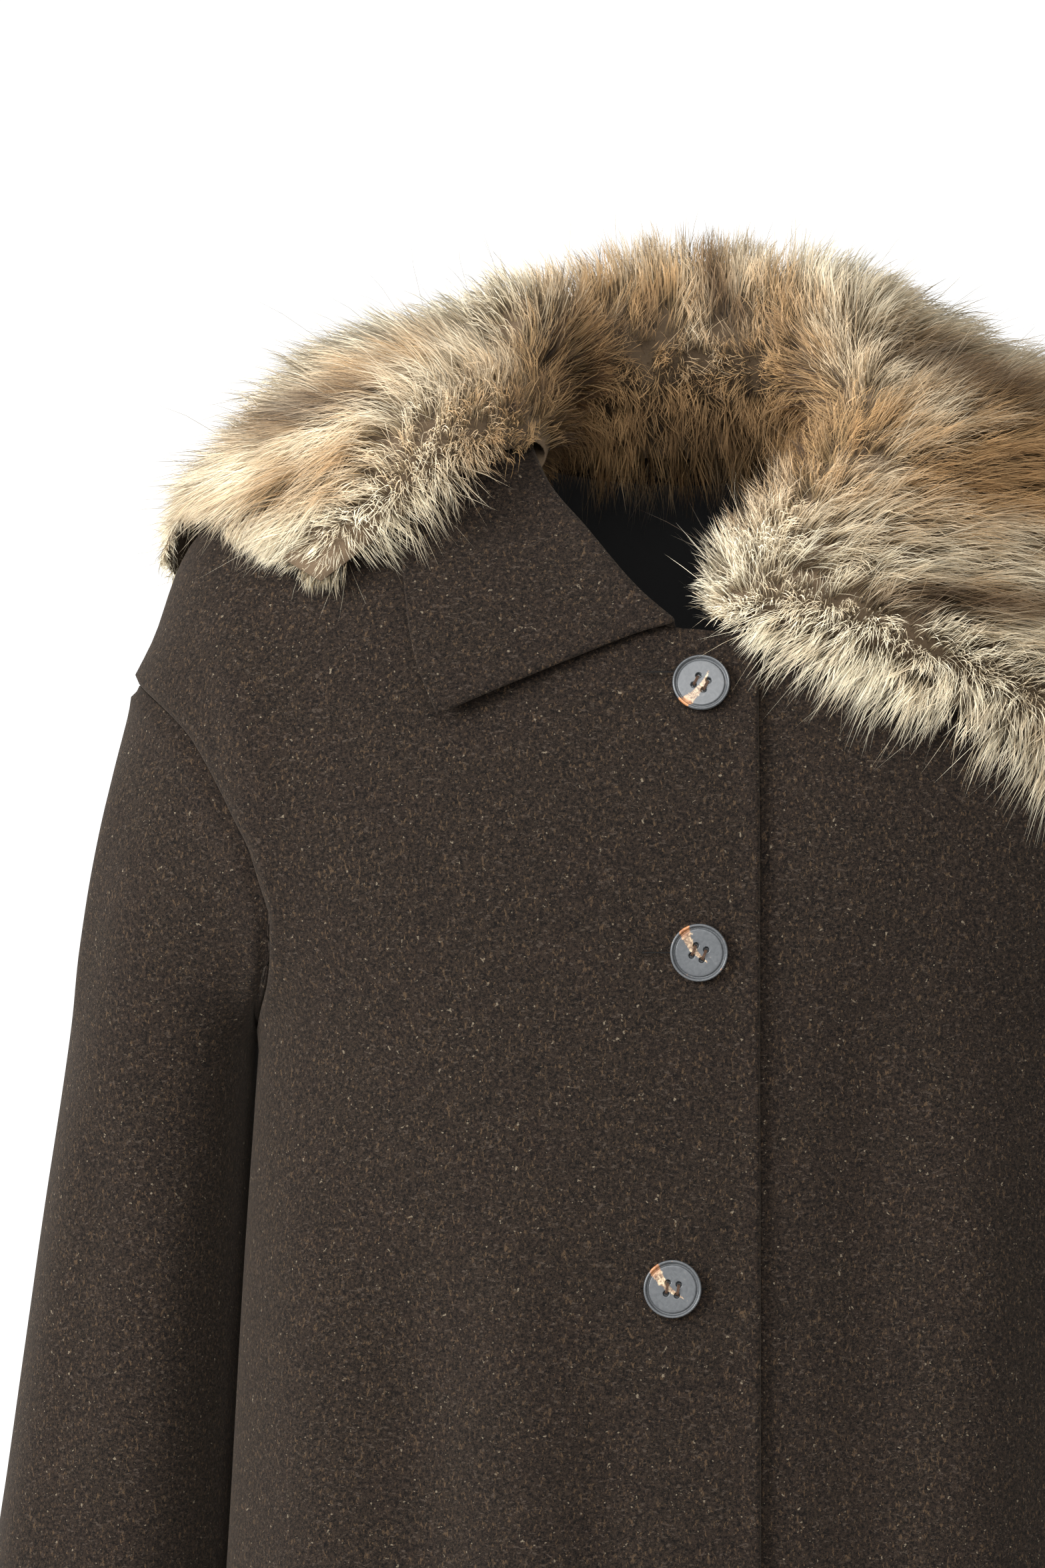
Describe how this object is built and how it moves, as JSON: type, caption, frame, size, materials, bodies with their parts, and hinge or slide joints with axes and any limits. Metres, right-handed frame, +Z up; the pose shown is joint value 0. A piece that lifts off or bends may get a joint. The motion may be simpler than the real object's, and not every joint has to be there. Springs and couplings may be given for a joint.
{
  "type": "faux fur collar jacket",
  "caption": "Short oversized felted wool jacket with a deep faux fur collar, buttoned right over left and filled out with no wearer.",
  "frame": {"origin": "on the centre plane, at the height where the shoulder seams meet the neck, midway through the depth of the neck; the wearer's shoulders hold the jacket there", "axes": "+X towards the jacket's own left, -Y towards its front, +Z up"},
  "size_m": [0.722, 0.2828, 0.7998],
  "materials": {
    "wool": "felted dark brown wool with paler flecks",
    "fur": "long cream and brown faux fur",
    "lining": "smooth black lining",
    "horn": "satin slate grey with a cream and brown flame"
  },
  "bodies": {
    "root": {"front_right": "wool", "front_left": "wool", "back": "wool", "sleeve_right": "wool", "sleeve_left": "wool", "collar": "wool", "fur_collar": "fur", "back_neck_lining": "lining", "button_1": "horn", "button_2": "horn", "button_3": "horn", "button_4": "horn"}
  },
  "joints": []
}
